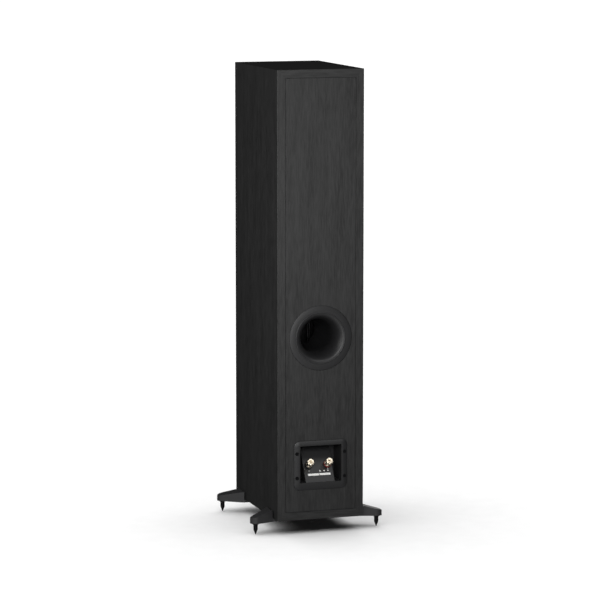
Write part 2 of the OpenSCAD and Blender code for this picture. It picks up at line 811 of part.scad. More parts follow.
// Faceplate with a waveguide that opens from the dome to the flat
module tweeter_faceplate() {
  steps = 8;
  mouth_r = 38;
  throat_r = 15.6;
  function guide(t) = [throat_r + (mouth_r - throat_r) * t, -9 * pow(cos(90 * t), 1.3)];
  color(plastic_black) on_baffle(tweeter_h) difference() {
    rotate_extrude() polygon(concat(
      [for (i = [0 : steps]) guide(i / steps)],
      [[tweeter_r - 0.6, 0], [tweeter_r, -0.6], [tweeter_r, -flange_t + 0.1], [40, -flange_t + 0.1],
        [33, -9.5], [throat_r, -11.5]]
    ));
    tweeter_screw_spots() translate([0, 0, -flange_t - past]) cylinder(r = 1.5 + fit_gap, h = 8, $fn = 32);
    tweeter_screw_spots() translate([0, 0, -1.7]) cylinder(r = 2.9, h = 4, $fn = 32);
  }
}

// Narrow roll between the dome and the faceplate
module tweeter_surround() {
  color(rubber_black) on_baffle(tweeter_h) rotate_extrude() polygon([
    [dome_r + 0.15, dome_z - 0.7], [dome_r + 0.15, dome_z - 0.2], [dome_r + 0.6, dome_z + 0.5],
    [dome_r + 1.3, dome_z + 0.8], [dome_r + 2, dome_z + 0.5], [15.4, dome_z - 0.2], [15.4, dome_z - 0.7]
  ]);
}

module tweeter_dome() {
  sphere_r = (dome_r * dome_r + dome_h * dome_h) / (2 * dome_h);
  color(cone_grey) on_baffle(tweeter_h) translate([0, 0, dome_z]) difference() {
    intersection() {
      translate([0, 0, dome_h - sphere_r]) sphere(r = sphere_r);
      cylinder(r = dome_r, h = dome_h + 1);
    }
    translate([0, 0, dome_h - sphere_r]) sphere(r = sphere_r - 0.5);
  }
}

module tweeter_voice_coil() {
  color(copper) on_baffle(tweeter_h) ring(dome_r - 0.6, dome_r - 0.1, -18, dome_z - 0.1);
}

// Magnet pot: a ring magnet between plates, with the pole inside the coil
module tweeter_motor() {
  color(ferrite_grey) on_baffle(tweeter_h) difference() {
    translate([0, 0, -38]) cylinder(r = 36, h = 26);
    difference() {
      translate([0, 0, -20]) cylinder(r = dome_r + 0.6, h = 20);
      translate([0, 0, -20 - past]) cylinder(r = dome_r - 1.2, h = 8 + past);
    }
  }
}

module tweeter_screws() {
  color(steel_black) on_baffle(tweeter_h) tweeter_screw_spots() translate([0, 0, 0.2])
    cap_screw(2.6, 1.8, 1.5, 14, 1.3);
}

// ---- feet ----

// The points of an arm's plan: its root edge and the tangents to its round end
function tangent_point(from, centre, r, side) =
  let (
    d = centre - from,
    dist = norm(d),
    reach = sqrt(dist * dist - r * r),
    lean = asin(r / dist),
    heading = atan2(d[1], d[0]) + side * lean
  ) from + reach * [cos(heading), sin(heading)];

// One foot for the +X, +Y corner: an arm beside the cabinet and a plate under it
module foot_shape() {
  centre = [spike_x, spike_y];
  root_out = [arm_root_x, arm_root_y_out];
  root_in = [arm_root_x, arm_root_y_in];
  end_x = spike_x + arm_end_r;
  end_r = arm_end_r - 0.02;
  difference() {
    union() {
      intersection() {
        translate([0, 0, plate_z0]) linear_extrude(40) union() {
          polygon([root_in, tangent_point(root_in, centre, end_r, -1), centre,
            tangent_point(root_out, centre, end_r, 1), root_out]);
          translate(centre) circle(arm_end_r);
        }
        along_y(0, half_d) polygon([
          [arm_root_x, plate_z0], [end_x - 1.5, plate_z0], [end_x, plate_z0 + 1.5],
          [end_x, base_z + arm_end_top - 2.5], [end_x - 2.5, base_z + arm_end_top],
          [arm_root_x, base_z + arm_root_top]
        ]);
      }
      upright(plate_in_x, arm_root_x + 4, arm_root_y_in, arm_root_y_out, plate_z0, base_z);
    }
    translate([spike_x, spike_y, plate_z0 - past]) cylinder(r = thread_r + fit_gap, h = 12.5 + past, $fn = 48);
    for (x = foot_screw_xs) translate([x, foot_screw_y, plate_z0 - past]) {
      cylinder(r = 6, h = 3.5 + past, $fn = 48);
      cylinder(r = 2.5 + fit_gap, h = plate_t + 2 * past, $fn = 32);
    }
  }
}

// Mirrors a shape from the +X, +Y corner to the corner asked for
module at_corner(sx, sy) {
  mirror([sx < 0 ? 1 : 0, 0, 0]) mirror([0, sy < 0 ? 1 : 0, 0]) children();
}

module foot_screw_spots() {
  for (sx = [-1, 1], sy = [-1, 1], x = foot_screw_xs) translate([sx * x, sy * foot_screw_y, 0]) children();
}

module foot_front_left() {
  color(steel_black) at_corner(-1, -1) foot_shape();
}

module foot_front_right() {
  color(steel_black) at_corner(1, -1) foot_shape();
}

module foot_rear_left() {
  color(steel_black) at_corner(-1, 1) foot_shape();
}

module foot_rear_right() {
  color(steel_black) at_corner(1, 1) foot_shape();
}

module foot_screws() {
  color(zinc_grey) foot_screw_spots() translate([0, 0, plate_z0 + 0.4]) rotate([180, 0, 0])
    cap_screw(5.2, 3, 2.5, 18, 2.3);
}

// Levelling spike: a thread, a coned collar and a pointed shaft
module spike(sx, sy) {
  collar_z = plate_z0 - 0.1;
  color(steel_black) translate([sx * spike_x, sy * spike_y, 0]) rotate_extrude() polygon([
    [0, 0], [spike_tip_r, 0], [spike_r, spike_cone_h], [spike_r, collar_z - collar_t],
    [collar_r, collar_z - 0.4], [collar_r, collar_z], [thread_r, collar_z],
    [thread_r, collar_z + thread_len], [0, collar_z + thread_len]
  ]);
}

module spike_front_left() {
  spike(-1, -1);
}

module spike_front_right() {
  spike(1, -1);
}

module spike_rear_left() {
  spike(-1, 1);
}

module spike_rear_right() {
  spike(1, 1);
}

side_panel_left();
side_panel_right();
top_panel();
bottom_panel();
front_baffle();
rear_panel();
brace_upper();
brace_middle();
brace_lower();
damping_felt();
port_flare();
port_tube();
terminal_cup();
terminal_gasket();
terminal_screws();
label_plate();
post_studs();
post_back_nuts();
post_ring_red();
post_ring_black();
post_nut_red();
post_nut_black();
crossover_board();
crossover_coils();
crossover_capacitors();
crossover_resistors();
crossover_screws();
input_wires();
driver_wires();
upper_woofer_basket();
upper_woofer_surround();
upper_woofer_cone();
upper_woofer_dust_cap();
upper_woofer_voice_coil();
upper_woofer_spider();
lower_woofer_basket();
lower_woofer_surround();
lower_woofer_cone();
lower_woofer_dust_cap();
lower_woofer_voice_coil();
lower_woofer_spider();
woofer_top_plates();
woofer_magnets();
woofer_yokes();
woofer_screws();
tweeter_faceplate();
tweeter_surround();
tweeter_dome();
tweeter_voice_coil();
tweeter_motor();
tweeter_screws();
foot_front_left();
foot_front_right();
foot_rear_left();
foot_rear_right();
spike_front_left();
spike_front_right();
spike_rear_left();
spike_rear_right();
foot_screws();
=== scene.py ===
"""Looks for a floor-standing loudspeaker: a vinyl-wrapped cabinet with a rear bass port, a recessed
terminal cup with gold binding posts, two woofers and a dome tweeter, on four outrigger feet with spikes."""

import json
from math import asin, atan2, cos, hypot, pi, radians, sin, sqrt

import bmesh
import bpy
from bpy.props import FloatProperty, FloatVectorProperty, PointerProperty
from bpy.types import Operator, Panel, PropertyGroup
from mathutils import Matrix, Vector


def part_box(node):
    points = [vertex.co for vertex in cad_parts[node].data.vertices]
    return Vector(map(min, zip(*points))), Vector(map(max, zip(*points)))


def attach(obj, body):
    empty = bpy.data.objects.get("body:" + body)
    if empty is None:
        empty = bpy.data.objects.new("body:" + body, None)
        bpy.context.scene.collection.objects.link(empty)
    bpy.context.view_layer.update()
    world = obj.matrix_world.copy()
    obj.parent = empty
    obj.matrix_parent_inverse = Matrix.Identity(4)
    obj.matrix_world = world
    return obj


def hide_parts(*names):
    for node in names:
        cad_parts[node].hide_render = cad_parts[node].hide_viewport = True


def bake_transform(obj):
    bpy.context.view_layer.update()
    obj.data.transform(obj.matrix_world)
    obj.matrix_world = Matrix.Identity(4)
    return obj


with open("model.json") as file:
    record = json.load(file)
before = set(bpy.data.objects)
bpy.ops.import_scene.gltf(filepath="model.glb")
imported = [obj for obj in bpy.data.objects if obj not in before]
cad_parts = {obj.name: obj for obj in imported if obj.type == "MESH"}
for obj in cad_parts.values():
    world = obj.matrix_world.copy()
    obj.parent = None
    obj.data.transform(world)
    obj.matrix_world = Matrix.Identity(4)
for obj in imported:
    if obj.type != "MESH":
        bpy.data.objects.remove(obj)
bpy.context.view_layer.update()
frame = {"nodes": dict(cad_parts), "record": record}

bl_info = {
    "name": "Floor-standing Loudspeaker",
    "version": (1, 0, 0),
    "blender": (4, 5, 0),
    "location": "3D View > Sidebar > Loudspeaker",
    "description": "Makes the finished pieces of a tower loudspeaker round its packed frame",
    "category": "Add Mesh",
}

MM = 0.001
WELD = 1e-6
# A wave texture of scale 1 turns through this many radians in a metre
WAVE_RATE = 20

# Places in metres, read from the frame
BOARD_LOW, BOARD_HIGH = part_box("side_panel_right")
BOARD = BOARD_HIGH.x - BOARD_LOW.x
FRONT_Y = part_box("front_baffle")[0].y
REAR_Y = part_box("rear_panel")[1].y
CORNERS = {"front_left": (-1, -1), "front_right": (1, -1), "rear_left": (-1, 1), "rear_right": (1, 1)}


def middle_z(node):
    """The height in millimetres of the middle of a node's box."""
    low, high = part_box(node)
    return (low.z + high.z) / 2 / MM


PORT_Z = middle_z("port_flare")
TWEETER_Z = middle_z("tweeter_dome")
WOOFERS = {"upper": middle_z("upper_woofer_cone"), "lower": middle_z("lower_woofer_cone")}

# The slope that carries the posts, in millimetres: it leans 31 degrees back from the upright
SLOPE = radians(31)
SLOPE_FOOT = Vector((0, 160, 115.5))
SLOPE_UP = Vector((0, -sin(SLOPE), cos(SLOPE)))
POST_TILT = -59
POST_X = 22
POST_RUN = 40.3

# Drive units, in millimetres outwards from the baffle
CONE_IN, CONE_OUT, CONE_BACK, CONE_DEPTH, CONE_CURVE = 16.7, 54.4, -30, 27.7, 0.86
ROLL_IN, ROLL_OUT, ROLL_PROUD = 55, 65.5, 3.5
CAP_R, CAP_RISE = 25, 9
DOME_R, DOME_RISE, DOME_Z = 12.7, 5.5, -8.5

# Thumb nut, in millimetres: its radius, and the radius and place of the hollows in its grip
NUT_R, HOLLOW_R, HOLLOW_AT = 8.3, 3.8, 10.9

# Feet, in millimetres: where a spike stands, the round of the arm's end and the foot's underside
SPIKE_X, SPIKE_Y, ARM_END_R, FOOT_LOW = 142, 130, 12.5, 25.5
THREAD_PITCH, THREAD_TURNS = 1.25, 8

# Stage, in metres and degrees
FLOOR_HALF = 60
CLIP_END = 200
SENSOR_MM = 36
OVERHEAD_ANGLE, OVERHEAD_LEAN = 120, 8
HIGH_LAMP_AIM = 0.3
GLOW_AZIMUTH, GLOW_BELOW, GLOW_POWER, GLOW_BASE = 152, 18, 1.6, 0.04
BACKDROP = 1.05


# ---- finishes ----

def linear(code):
    """An sRGB hex colour as the linear red, green, blue and alpha that a node takes."""
    parts = [int(code[i : i + 2], 16) / 255 for i in (1, 3, 5)]
    return [p / 12.92 if p <= 0.04045 else ((p + 0.055) / 1.055) ** 2.4 for p in parts] + [1.0]


def shades(colour, low, high):
    """Two tones of one colour, a darker and a lighter, with alpha."""
    return [[c * share for c in colour[:3]] + [1.0] for share in (low, high)]


def add(tree, kind, links=None, **settings):
    """Adds one node. A setting is an attribute of the node or the value of one of its sockets,
    and a link joins one of its sockets to another node's output."""
    node = tree.nodes.new("ShaderNode" + kind)
    for key, value in settings.items():
        if hasattr(node, key):
            setattr(node, key, value)
        else:
            node.inputs[key.replace("_", " ")].default_value = value
    for key, source in (links or {}).items():
        tree.links.new(source, node.inputs[key])
    return node


def blank(name, sockets):
    """A new material with the given values on its shader's own sockets: itself, its tree, its shader."""
    material = bpy.data.materials.new(name)
    material.use_nodes = True
    shader = material.node_tree.nodes["Principled BSDF"]
    for key, value in sockets.items():
        shader.inputs[key.replace("_", " ")].default_value = value
    return material, material.node_tree, shader


def shade_by(tree, shader, height, tones, roughness, relief_mm, span):
    """Lets one pattern set a finish's tone, its gloss and its relief."""
    tone = add(tree, "ValToRGB", {"Fac": height})
    for stop, place, colour in zip(tone.color_ramp.elements, span, tones):
        stop.position, stop.color = place, colour
    gloss = add(tree, "MapRange", {"Value": height}, From_Min=span[0], From_Max=span[1],
                To_Min=roughness[0], To_Max=roughness[1])
    relief = add(tree, "Bump", {"Height": height}, Strength=1.0, Distance=relief_mm * MM)
    tree.links.new(tone.outputs["Color"], shader.inputs["Base Color"])
    tree.links.new(gloss.outputs["Result"], shader.inputs["Roughness"])
    tree.links.new(relief.outputs["Normal"], shader.inputs["Normal"])


def grains(tree, size_mm, detail=3.0):
    """A noise pattern with grains of the given size in millimetres along X, Y and Z."""
    spot = add(tree, "TexCoord")
    grid = add(tree, "Mapping", {"Vector": spot.outputs["Object"]},
               Scale=[1 / (s * MM) for s in size_mm])
    pattern = add(tree, "TexNoise", {"Vector": grid.outputs["Vector"]}, Scale=1.0, Detail=detail)
    return pattern.outputs["Fac"]


def ridges(tree, pitch_mm, side):
    """Soft parallel ridges across one axis, the given distance apart."""
    spot = add(tree, "TexCoord")
    pattern = add(tree, "TexWave", {"Vector": spot.outputs["Object"]}, bands_direction=side,
                  Scale=2 * pi / (pitch_mm * MM) / WAVE_RATE, Distortion=0.3, Detail=2.0)
    return pattern.outputs["Fac"]


def grained(name, tones, size_mm, roughness, relief_mm, detail=3.0, **sockets):
    """A finish with one grain, its size in millimetres along X, Y and Z."""
    material, tree, shader = blank(name, sockets)
    shade_by(tree, shader, grains(tree, size_mm, detail), tones, roughness, relief_mm, (0.35, 0.65))
    return material


def wood_film(name, tones, roughness, size_mm, band_mm):
    """Film pressed with a wood grain: fine dark pores that lie in broader pale and dark bands."""
    material, tree, shader = blank(name, {})
    pores = grains(tree, size_mm, 4.0)
    figure = grains(tree, band_mm, 2.0)
    # Sockets 2 and 3 are the two numbers that are mixed
    both = add(tree, "Mix", {2: pores, 3: figure}, data_type="FLOAT", Factor=0.3)
    shade_by(tree, shader, both.outputs[0], tones, roughness, 0.05, (0.36, 0.64))
    return material


def woven(name, tones, thread_mm, roughness, relief_mm, **sockets):
    """A plain weave seen from the front: two crossing sets of threads."""
    material, tree, shader = blank(name, sockets)
    both = add(tree, "Math", {0: ridges(tree, thread_mm, "X"), 1: ridges(tree, thread_mm, "Z")},
               operation="ADD")
    shade_by(tree, shader, both.outputs["Value"], tones, roughness, relief_mm, (0.3, 1.7))
    return material


def ridged(name, tones, pitch_mm, side, roughness, relief_mm, **sockets):
    """A finish of fine parallel ridges, such as a wound wire."""
    material, tree, shader = blank(name, sockets)
    shade_by(tree, shader, ridges(tree, pitch_mm, side), tones, roughness, relief_mm, (0.1, 0.9))
    return material


def make_finishes(scene):
    """One material for each slot of the record, and a second film whose grain runs across."""
    film = shades(scene.tower_cabinet.film, 0.5, 1.5)
    plastic = scene.tower_fittings.plastic
    units = scene.tower_units
    return {
        # PVC film pressed with an ash grain over board: black, low sheen, with upright streaks. Real
        # pores are under 1 mm wide, too fine to show from across a room, so they are drawn 2.4 mm wide.
        "vinyl_wrap": wood_film("Black ash PVC film, grain upright", film, (0.50, 0.60),
                                (2.4, 2.4, 26), (15, 15, 170)),
        # The same film where it is folded over the top and under the bottom, its grain running across
        "vinyl_across": wood_film("Black ash PVC film, grain across", film, (0.50, 0.60),
                                  (26, 2.4, 2.4), (170, 15, 15)),
        # Smooth satin film on the baffle: an even black with a faint orange peel
        "baffle_vinyl": grained("Satin black PVC film, smooth", shades(scene.tower_cabinet.baffle, 0.9, 1.1),
                                (3, 3, 3), (0.34, 0.42), 0.01),
        # MDF as sawn: pale brown, matt, flecked with fibres 1 mm long
        "raw_board": grained("MDF, sawn and unfinished", [linear("#86684a"), linear("#a5835f")],
                             (1.2, 1.2, 1.2), (0.85, 0.95), 0.05, 5.0),
        # Needled polyester felt: a dull grey with a soft nap
        "felt": grained("Polyester felt, needled", [linear("#3c3c3e"), linear("#5b5b5d")], (2, 2, 2),
                        (0.9, 1.0), 0.4, 6.0, Sheen_Weight=0.4, Sheen_Roughness=0.6),
        # Black ABS from a spark-eroded mould: its grain of 0.3 mm is drawn at 0.9 mm so that it shows
        "moulded_plastic": grained("Black ABS, moulded with a fine spark-eroded grain",
                                   shades(plastic, 0.82, 1.18), (0.9, 0.9, 0.9), (0.42, 0.54), 0.014),
        # Closed-cell foam: matt near-black with small cells
        "foam_rubber": grained("Neoprene foam, cut sheet", [linear("#101010"), linear("#1f1f1f")],
                               (0.8, 0.8, 0.8), (0.85, 0.95), 0.08),
        # Black oxide steel: dark, faintly metallic and a little oily
        "black_steel": grained("Carbon steel, black oxide", [linear("#161617"), linear("#262628")],
                               (1.0, 1.0, 1.0), (0.36, 0.5), 0.006, Metallic=0.85),
        # Matt white polyester print: slightly uneven ink
        "white_label": grained("Polyester label, printed white", [linear("#ececea"), linear("#fafaf8")],
                               (1.5, 1.5, 1.5), (0.5, 0.6), 0.004),
        # Gold plate on turned brass: warm, pale and satin, with faint turning marks
        "gold_plate": grained("Brass, satin gold plated", shades(scene.tower_fittings.gold, 0.9, 1.06),
                              (1.6, 0.5, 1.6), (0.24, 0.36), 0.004, Metallic=1.0),
        # Bright zinc plate: a cool grey metal with a light mottle
        "zinc_steel": grained("Steel, bright zinc plated", [linear("#8f9498"), linear("#b9bec2")],
                              (1.8, 1.8, 1.8), (0.28, 0.42), 0.005, Metallic=1.0),
        # Polished red ABS: deep red with a clean gloss
        "red_plastic": grained("Red ABS, polished mould", shades(scene.tower_fittings.marker, 0.88, 1.1),
                               (1.2, 1.2, 1.2), (0.26, 0.34), 0.004),
        # Polished black ABS
        "black_plastic": grained("Black ABS, polished mould", [linear("#141415"), linear("#1c1c1d")],
                                 (1.2, 1.2, 1.2), (0.26, 0.34), 0.004),
        # Green solder mask on glass laminate: glossy, with the weave just showing
        "circuit_board": woven("Glass laminate, green solder mask", [linear("#12351c"), linear("#1d4a2a")],
                               1.0, (0.28, 0.36), 0.01),
        # Enamelled copper wire, wound: bright brown metal with a ridge at each turn of 1 mm wire
        "copper_wire": ridged("Enamelled copper wire, wound", [linear("#7c3f22"), linear("#c0714a")],
                              1.0, "Z", (0.28, 0.4), 0.12, Metallic=1.0),
        # Polyester film capacitors: waxy yellow wrap
        "capacitor_film": grained("Polyester film wrap, yellow", [linear("#a27c1c"), linear("#c29a34")],
                                  (4, 4, 4), (0.35, 0.45), 0.01),
        # Cement-filled resistor body: chalky off-white
        "cement": grained("Ceramic and cement, cast", [linear("#b9b6aa"), linear("#d8d5ca")], (1, 1, 1),
                          (0.85, 0.95), 0.06, 5.0),
        # PVC wire sleeve: soft dark grey with a slight shine
        "wire_sleeve": grained("PVC wire sleeve, extruded", [linear("#202021"), linear("#2e2e30")], (1, 1, 1),
                               (0.4, 0.5), 0.01),
        # Sintered ferrite: charcoal, dry and finely speckled
        "ferrite": grained("Sintered ferrite, ground", [linear("#232327"), linear("#35353a")],
                           (0.7, 0.7, 0.7), (0.45, 0.6), 0.012, 5.0),
        # Butyl rubber roll: deep black with a dull bloom
        "butyl_rubber": grained("Butyl rubber, moulded", shades(units.rubber, 0.8, 1.3), (2.2, 2.2, 2.2),
                                (0.48, 0.62), 0.008),
        # Coated silk dome: woven threads of 0.25 mm drawn at 0.8 mm, under a thin tacky coat
        "silk": woven("Silk cloth, coated", shades(units.dome, 0.7, 1.3), 0.8, (0.42, 0.55), 0.03),
        # Pressed paper cone: charcoal fibres in a thin damping coat
        "paper_cone": grained("Paper pulp, pressed and coated", shades(units.cone, 0.72, 1.32),
                              (1.6, 1.6, 1.6), (0.5, 0.64), 0.06, 6.0),
        # Resin-stiffened cotton: amber cloth with an open weave
        "spider_cloth": woven("Cotton cloth, resin stiffened", [linear("#8d6a2e"), linear("#cba862")], 0.9,
                              (0.7, 0.8), 0.1),
        # Powder-coated zinc casting: dark grey with an even orange peel of about 1 mm
        "cast_foot": grained("Zinc casting, black powder coat", shades(scene.tower_feet.coat, 0.85, 1.15),
                             (1.1, 1.1, 1.1), (0.42, 0.52), 0.03),
    }


# ---- shapes ----

def put(shape, x, y, z, tilt=0.0):
    """Turns a shape about X by a tilt in degrees, then moves it by millimetres."""
    turn = Matrix.Rotation(radians(tilt), 4, "X")
    bmesh.ops.transform(shape, matrix=Matrix.Translation(Vector((x, y, z)) * MM) @ turn, verts=shape.verts)
    return shape


def spun(points, steps):
    """A lathe shape about Z from (radius, height) points in millimetres. The points close on
    themselves unless they start and end on the axis."""
    shape = bmesh.new()
    row = [shape.verts.new((r * MM, 0, z * MM)) for r, z in points]
    pairs = list(zip(row, row[1:]))
    if points[0][0] > 0:
        pairs.append((row[-1], row[0]))
    line = [shape.edges.new(pair) for pair in pairs if any(vert.co.x > 0 for vert in pair)]
    bmesh.ops.spin(shape, geom=row + line, cent=(0, 0, 0), axis=(0, 0, 1), dvec=(0, 0, 0), angle=2 * pi,
                   steps=steps, use_merge=True)
    return outward(shape)


def outward(shape):
    """Merges a closed shape's doubles and turns its faces outwards."""
    bmesh.ops.remove_doubles(shape, verts=shape.verts, dist=WELD)
    bmesh.ops.recalc_face_normals(shape, faces=shape.faces)
    if any(len(edge.link_faces) != 2 for edge in shape.edges):
        raise RuntimeError("a shape has an open edge")
    if shape.calc_volume(signed=True) < 0:
        bmesh.ops.reverse_faces(shape, faces=shape.faces)
    return shape


def lofted(rows, closed=False):
    """Extrudes a loop of points in millimetres through a row of such loops, each point to its own
    partner, and caps the ends unless they meet."""
    shape = bmesh.new()
    verts = [shape.verts.new(Vector(point) * MM) for point in rows[0]]
    start = edges = [shape.edges.new(pair) for pair in zip(verts, verts[1:] + verts[:1])]
    for row in rows[1:] + (rows[:1] if closed else []):
        made = bmesh.ops.extrude_edge_only(shape, edges=edges)["geom"]
        fresh = {item for item in made if isinstance(item, bmesh.types.BMVert)}
        edges = [item for item in made if isinstance(item, bmesh.types.BMEdge) and set(item.verts) <= fresh]
        verts = [next(e.other_vert(v) for e in v.link_edges if e.other_vert(v) in fresh) for v in verts]
        for vert, point in zip(verts, row):
            vert.co = Vector(point) * MM
    if not closed:
        bmesh.ops.holes_fill(shape, edges=start + edges, sides=0)
    return outward(shape)


def block(x, y, z, round_mm=0.0):
    """A box between pairs of millimetres, its edges rounded."""
    shape = bmesh.new()
    low, high = Vector((x[0], y[0], z[0])) * MM, Vector((x[1], y[1], z[1])) * MM
    grow = Matrix.Translation((low + high) / 2) @ Matrix.Diagonal((*(high - low), 1))
    bmesh.ops.create_cube(shape, size=1, matrix=grow)
    if round_mm:
        soften(shape, shape.edges[:], round_mm)
    return shape


def rods(spots, radius, low, high, sides=48):
    """Upright rods at (x, y) spots, all in millimetres."""
    shape = bmesh.new()
    for x, y in spots:
        place = Matrix.Translation(Vector((x, y, (low + high) / 2)) * MM)
        bmesh.ops.create_cone(shape, cap_ends=True, segments=sides, radius1=radius * MM, radius2=radius * MM,
                              depth=(high - low) * MM, matrix=place)
    return shape


def soften(shape, edges, round_mm, segments=2):
    """Rounds some edges of a shape."""
    bmesh.ops.bevel(shape, geom=edges, offset=round_mm * MM, offset_type="OFFSET", segments=segments,
                    profile=0.5, affect="EDGES", clamp_overlap=True, material=-1)


def joined(shapes):
    """Several shapes as one."""
    whole = bmesh.new()
    for shape in shapes:
        loose = bpy.data.meshes.new("loose")
        shape.to_mesh(loose)
        shape.free()
        whole.from_mesh(loose)
        bpy.data.meshes.remove(loose)
    return whole


def worked(shape, tool, operation="DIFFERENCE"):
    """A shape after a tool shape has been cut from it or joined to it."""
    solids = []
    for part in (shape, tool):
        mesh = bpy.data.meshes.new("solid")
        part.to_mesh(mesh)
        part.free()
        solids.append(bpy.data.objects.new("solid", mesh))
        bpy.context.scene.collection.objects.link(solids[-1])
    step = solids[0].modifiers.new("Work", "BOOLEAN")
    step.object, step.operation, step.solver = solids[1], operation, "EXACT"
    result = bmesh.new()
    result.from_object(solids[0], bpy.context.evaluated_depsgraph_get())
    for solid in solids:
        mesh = solid.data
        bpy.data.objects.remove(solid)
        bpy.data.meshes.remove(mesh)
    bmesh.ops.remove_doubles(result, verts=result.verts, dist=WELD)
    if not result.faces:
        raise RuntimeError("a shape was lost when its tool was worked into it")
    return result


def piece(name, shape, finish, nodes, crease=32, even=False):
    """Makes a named mesh object with its finish that stands for the given CAD nodes. Edges turn sharp
    past the crease angle, and even normals keep flat faces flat beside small rounds."""
    for edge in shape.edges:
        edge.smooth = len(edge.link_faces) == 2 and edge.calc_face_angle() < radians(crease)
    for face in shape.faces:
        face.smooth = True
    mesh = bpy.data.meshes.new(name)
    shape.to_mesh(mesh)
    shape.free()
    mesh.materials.append(FINISHES[finish])
    obj = bpy.data.objects.new(name, mesh)
    bpy.context.scene.collection.objects.link(obj)
    if even:
        obj.modifiers.new("Even normals", "WEIGHTED_NORMAL").keep_sharp = True
    if nodes:
        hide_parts(*nodes)
    return obj


def arc(mid, size, first, last, steps):
    """Points (radius, height) on an ellipse round mid, from a first to a last angle in degrees."""
    turns = [radians(first + (last - first) * i / steps) for i in range(steps + 1)]
    return [(mid[0] + size[0] * cos(t), mid[1] + size[1] * sin(t)) for t in turns]


def cap_line(rim_r, rise, rim_z, wall, steps=16):
    """The outer or inner line of a shallow spherical cap, from the rim to the middle."""
    ball = (rim_r**2 + rise**2) / (2 * rise)
    low = rim_z + rise - ball
    radii = [rim_r * (1 - i / steps) for i in range(steps + 1)]
    return [(r, low + sqrt((ball - wall) ** 2 - min(r, ball - wall) ** 2)) for r in radii]


# ---- pieces ----

FINISHES = {}


def board(node, cuts, finish):
    """One mitred board: the whole wrapped frame with its far corners cut away."""
    edge = bpy.context.scene.tower_cabinet.edge_round / MM
    x, z0, z1 = BOARD_HIGH.x / MM, BOARD_LOW.z / MM, BOARD_HIGH.z / MM
    shape = block((-x, x), (FRONT_Y / MM, REAR_Y / MM), (z0, z1))
    soften(shape, shape.edges[:], edge, 3)
    # The front and rear faces, over 0.1 square metres each
    ends = [f for f in shape.faces if abs(f.normal.y) > 0.999 and f.calc_area() > 0.1]
    bmesh.ops.inset_individual(shape, faces=ends, thickness=BOARD - edge * MM, use_even_offset=True)
    bmesh.ops.delete(shape, geom=ends, context="FACES_ONLY")
    bmesh.ops.bridge_loops(shape, edges=[e for e in shape.edges if e.is_boundary])
    for place, normal in cuts:
        bmesh.ops.bisect_plane(shape, geom=shape.verts[:] + shape.edges[:] + shape.faces[:], dist=WELD,
                               plane_co=place, plane_no=normal, clear_inner=True)
    bmesh.ops.holes_fill(shape, edges=[e for e in shape.edges if e.is_boundary], sides=0)
    bmesh.ops.recalc_face_normals(shape, faces=shape.faces)
    return piece(node + "_wrapped", shape, finish, [node], even=True)


def rounded_rim(width, height, radius, y, mid_z, steps=12):
    """Points of an upright rounded rectangle facing +Y."""
    points = []
    for sx, sz, first in ((1, 1, 0), (-1, 1, 90), (-1, -1, 180), (1, -1, 270)):
        for i in range(steps + 1):
            turn = radians(first + 90 * i / steps)
            points.append((sx * (width / 2 - radius) + radius * cos(turn), y,
                           mid_z + sz * (height / 2 - radius) + radius * sin(turn)))
    return points


def cup_shape():
    """The terminal cup: a crowned flange with the well's walls, its back and the slope inside it."""
    # Each row: the rim's width, height and corner radius, its y and its middle's height
    rows = [(96, 83, 1.0, 106, 157), (96, 83, 1.0, 162.9, 157), (96.4, 83.4, 1.2, 163.3, 157),
            (97.2, 84.2, 1.6, 163.5, 157), (101.4, 88.4, 3.4, 163.5, 157)]
    # The flange falls away from the rim of the well, ever steeper towards its edge
    for i in range(1, 8):
        t = i / 8
        rows.append((101.4 + 22.2 * t, 88.4 + 21.2 * t, 3.4 + 9 * t, 163.5 - 2.4 * t**1.7, 157 - 2.5 * t))
    rows += [(123.6, 109.6, 12.4, 161.0, 154.5), (124, 110, 12.6, 160.5, 154.5),
             (124, 110, 12.6, 159.1, 154.5), (100, 87, 2.0, 159.1, 157), (100, 87, 2.0, 106, 157)]
    walls = lofted([rounded_rim(*row) for row in rows], closed=True)
    # Screw holes: a wide sink, then a pilot
    spots = [(x, -z) for x in (-55.5, 55.5) for z in (127, 182)]
    for radius, low, sides in ((4.2, 160.6, 48), (1.8, 150, 24)):
        walls = worked(walls, put(rods(spots, radius, low, 170, sides), 0, 0, 0, -90))
    back = block((-49, 49), (106, 108), (114.5, 199.5))
    wedge = lofted([[(x, 159.6, 115), (x, 109.4, 198.9), (x, 107, 198.9), (x, 107, 115)]
                    for x in (-34, 34)])
    brow = [e for e in wedge.edges if {round(v.co.y / MM, 1) for v in e.verts} == {159.6, 109.4}]
    soften(wedge, brow, 0.8, 3)
    return joined([walls, back, wedge])


def slope_mark(x, run, width, height):
    """A thin printed bar on the slope, a distance up from its foot."""
    shape = block((-width / 2, width / 2), (-height / 2, height / 2), (0, 0.15))
    spot = SLOPE_FOOT + SLOPE_UP * run
    return put(shape, x, spot.y, spot.z, POST_TILT)


def on_post(shape, side):
    """Moves a shape to a binding post, its foot on the slope."""
    spot = SLOPE_FOOT + SLOPE_UP * POST_RUN
    return put(shape, side * POST_X, spot.y, spot.z, POST_TILT)


def grip_radius(angle):
    """A thumb nut's radius at an angle: round, with six shallow hollows."""
    off = abs((angle + pi / 6) % (pi / 3) - pi / 6)
    aside = HOLLOW_AT * sin(off)
    if aside >= HOLLOW_R:
        return NUT_R
    return min(NUT_R, HOLLOW_AT * cos(off) - sqrt(HOLLOW_R**2 - aside**2))


